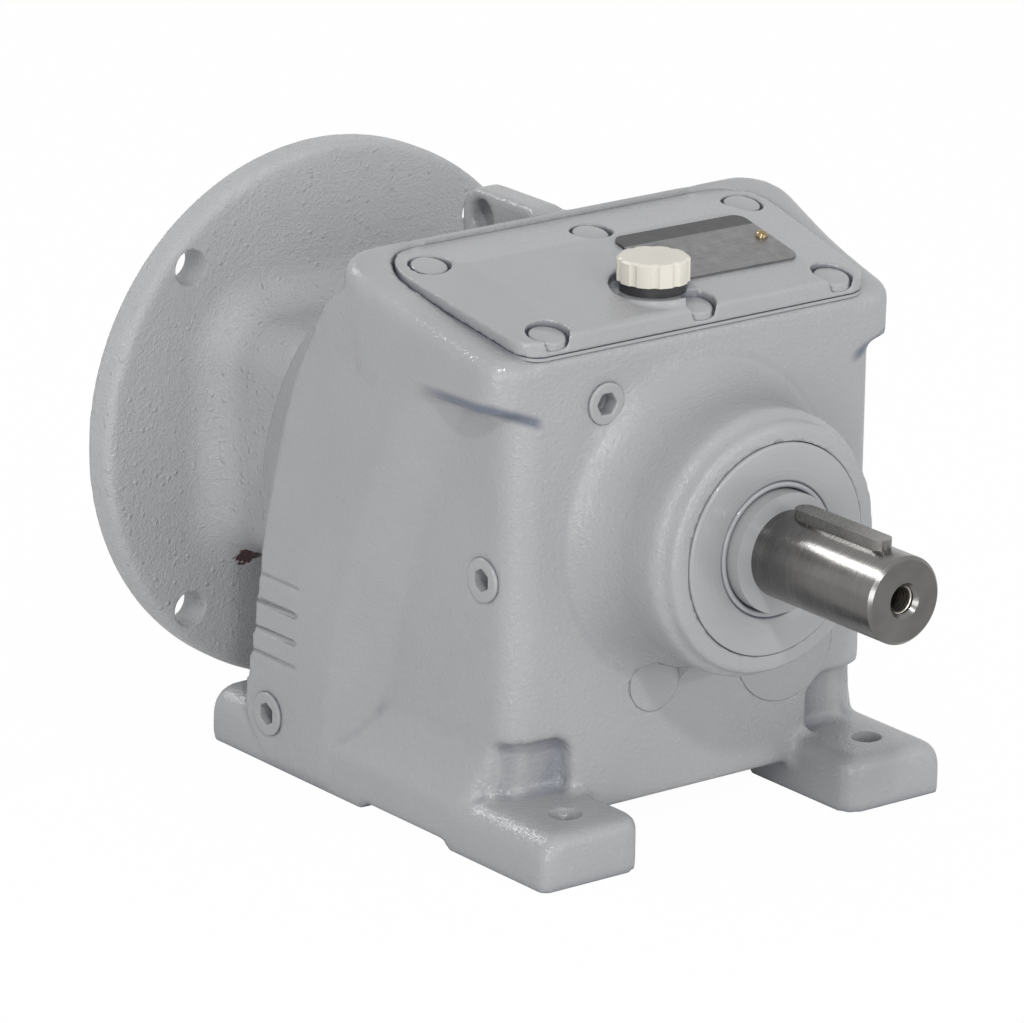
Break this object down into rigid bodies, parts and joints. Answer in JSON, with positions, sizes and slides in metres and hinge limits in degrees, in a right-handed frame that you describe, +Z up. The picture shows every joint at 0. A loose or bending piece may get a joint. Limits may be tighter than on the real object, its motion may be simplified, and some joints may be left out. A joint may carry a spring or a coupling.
{
  "type": "helical inline gearbox",
  "caption": "Foot-mounted inline reducer: helical gears in a cast housing with a sloped cover, keyed output shaft at the front and a round motor flange at the rear.",
  "frame": {"origin": "centre of the four foot holes, on the plane that the feet stand on", "axes": "+Z up, -Y out of the output shaft's end, +Y out of the motor flange, +X to the right seen from the output shaft"},
  "size_m": [0.165, 0.2732, 0.169],
  "materials": {
    "grey_paint": "light grey gloss paint over sand-cast iron",
    "painted_screws": "steel screws painted over with the casting",
    "painted_seal": "seal face painted over with the casting",
    "cream_plastic": "cream moulded plastic",
    "black_rubber": "black rubber",
    "gasket_paper": "dark gasket sheet",
    "plate_metal": "thin blank metal plate",
    "rivet_brass": "plated drive rivet",
    "turned_steel": "bright turned steel",
    "stem_brass": "turned brass",
    "bearing_steel": "ground bearing steel",
    "gear_steel": "hobbed and hardened steel",
    "plain_steel": "plain steel"
  },
  "bodies": {
    "housing": {"gear_housing": "grey_paint", "top_cover": "grey_paint", "cover_gasket": "gasket_paper", "cover_screws": "painted_screws", "breather_cap": "cream_plastic", "breather_stem": "stem_brass", "breather_ring": "black_rubber", "type_plate": "plate_metal", "plate_rivets": "rivet_brass", "front_level_plug": "grey_paint", "side_level_plugs": "grey_paint", "drain_plugs": "grey_paint", "large_bore_cap": "grey_paint", "small_bore_cap": "grey_paint", "output_seal": "painted_seal", "output_front_bearing_outer_ring": "bearing_steel", "output_rear_bearing_outer_ring": "bearing_steel", "intermediate_front_bearing_outer_ring": "bearing_steel", "intermediate_rear_bearing_outer_ring": "bearing_steel", "input_front_bearing_outer_ring": "bearing_steel", "input_rear_bearing_outer_ring": "bearing_steel", "input_seal": "black_rubber", "adapter": "grey_paint", "adapter_gasket": "gasket_paper", "adapter_screws": "plain_steel"},
    "output": {"output_shaft": "turned_steel", "output_key": "turned_steel", "output_gear": "gear_steel", "output_gear_key": "plain_steel", "output_spacer": "plain_steel", "output_front_bearing_inner_ring": "bearing_steel", "output_front_bearing_balls": "bearing_steel", "output_rear_bearing_inner_ring": "bearing_steel", "output_rear_bearing_balls": "bearing_steel"},
    "intermediate": {"intermediate_shaft": "gear_steel", "intermediate_gear": "gear_steel", "intermediate_gear_key": "plain_steel", "intermediate_front_bearing_inner_ring": "bearing_steel", "intermediate_front_bearing_balls": "bearing_steel", "intermediate_rear_bearing_inner_ring": "bearing_steel", "intermediate_rear_bearing_balls": "bearing_steel"},
    "input": {"input_shaft": "gear_steel", "input_retaining_ring": "plain_steel", "input_front_bearing_inner_ring": "bearing_steel", "input_front_bearing_balls": "bearing_steel", "input_rear_bearing_inner_ring": "bearing_steel", "input_rear_bearing_balls": "bearing_steel"}
  },
  "joints": [
    {"name": "output_spin", "type": "hinge", "parent": "housing", "child": "output", "pos_m": [0, 0, 0.09], "axis": [0, 1, 0], "continuous": true},
    {"name": "intermediate_spin", "type": "hinge", "parent": "housing", "child": "intermediate", "pos_m": [0.0335, 0, 0.0463], "axis": [0, 1, 0], "continuous": true},
    {"name": "input_spin", "type": "hinge", "parent": "housing", "child": "input", "pos_m": [0, 0, 0.078], "axis": [0, 1, 0], "continuous": true}
  ],
  "couplings": [
    {"joint": "intermediate_spin", "follows": "output_spin", "ratio": -3.8667},
    {"joint": "input_spin", "follows": "output_spin", "ratio": 7.54}
  ]
}
